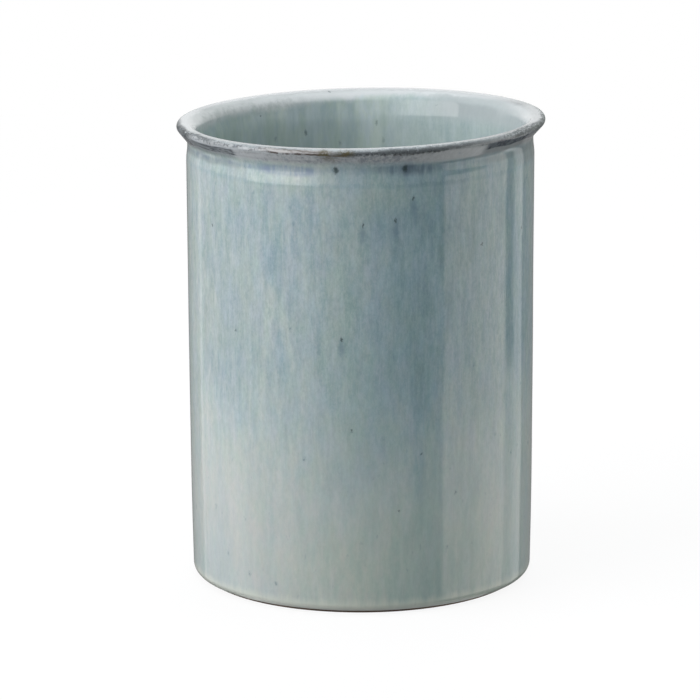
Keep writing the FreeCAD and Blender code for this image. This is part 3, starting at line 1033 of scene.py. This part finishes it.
def card(name, turn, rise, colour, distance=1.2):
    """An upright curved card between two azimuths and two heights, seen only in the gloss."""
    sides = max(2, math.ceil((turn[1] - turn[0]) / card_facet))
    ways = [toward(turn[0] + (turn[1] - turn[0]) * i / sides, 0) for i in range(sides + 1)]
    corners = [way * distance + Vector((0, 0, height)) for height in rise for way in ways]
    faces = [(i, i + 1, i + sides + 2, i + sides + 1) for i in range(sides)]
    mesh = bpy.data.meshes.new(name)
    mesh.from_pydata(corners, [], faces)
    paint = bpy.data.materials.new(name)
    paint.use_nodes = True
    nodes = paint.node_tree.nodes
    nodes.remove(nodes["Principled BSDF"])
    glow = add(paint.node_tree, "ShaderNodeEmission", {"Color": (*colour, 1), "Strength": 1.0})
    feed(nodes["Material Output"], {"Surface": glow.outputs[0]})
    mesh.materials.append(paint)
    holder = new_object(name, mesh)
    for ray in ("camera", "diffuse", "transmission", "volume_scatter", "shadow"):
        setattr(holder, "visible_" + ray, False)


def grey(level):
    """A grey of this level."""
    return (level, level, level)


soft_lamp("left key", azimuth=-66, elevation=30, power=18.5, size=1.2, tint=(1.04, 1.0, 1.035))
soft_lamp("front fill", azimuth=-20, elevation=35, power=1.0)
soft_lamp("right fill", azimuth=88, elevation=15, power=6.2)
soft_lamp("back fill", azimuth=175, elevation=35, power=6.0)
soft_lamp("overhead", azimuth=0, elevation=88, power=5.5, distance=1.2)
card("dark table", turn=(-180, 180), rise=(-1.95, 0.2), colour=grey(0.06), distance=2.0)
card("dark front", turn=(-24, 54), rise=(0.2, 1.3), colour=grey(0.06), distance=2.0)
card("right window", turn=(55, 82), rise=(-0.45, 0.12), colour=(1.4, 1.24, 1.13))
card("right window, side", turn=(82, 109.5), rise=(-0.45, 0.12), colour=(1.55, 1.42, 1.32))
card("right window, low", turn=(109.5, 120), rise=(-0.45, -0.2), colour=(0.8, 0.8, 0.75))
card("left window", turn=(-78, -36), rise=(0.0, 0.8), colour=grey(2.8))
card("left window, edge", turn=(-36, -28), rise=(0.0, 0.8), colour=grey(2.0))
card("left window, curtain", turn=(-28, -18), rise=(0.0, 0.8), colour=grey(0.8))
card("left window, side", turn=(-118, -78), rise=(0.0, 0.8), colour=grey(0.25))
card("left window, low", turn=(-128, -81), rise=(-0.45, -0.21), colour=grey(0.7))
card("left strip", turn=(-133.5, -129), rise=(-0.6, 0.6), colour=grey(0.85))
card("right strip", turn=(120, 133), rise=(-0.6, 0.6), colour=(1.0, 1.0, 0.98))
card("far left", turn=(-180, -133.5), rise=(-0.4, 0.16), colour=grey(0.19))
card("far right", turn=(133, 180), rise=(-0.4, 0.16), colour=grey(0.22))

camera_data = bpy.data.cameras.new("camera")
camera_data.sensor_width = 36.0
camera_data.lens = 207.75
camera_data.clip_end = 20.0
camera = new_object("camera", camera_data)
view_drop = 0.2277
view_roll = 0.0043
view_distance = 1.31207
aim = Vector((0, 0, 0.075))
aim_right = -0.003558
aim_down = 0.001614
forward = Vector((0, math.cos(view_drop), -math.sin(view_drop)))
level_right = Vector((1, 0, 0))
level_down = forward.cross(level_right)
right = level_right * math.cos(view_roll) + level_down * math.sin(view_roll)
down = level_down * math.cos(view_roll) - level_right * math.sin(view_roll)
camera_place = aim + right * aim_right + down * aim_down - forward * view_distance
camera_turn = Matrix((right, -down, -forward)).transposed().to_4x4()
camera.matrix_world = Matrix.Translation(camera_place) @ camera_turn
scene.camera = camera
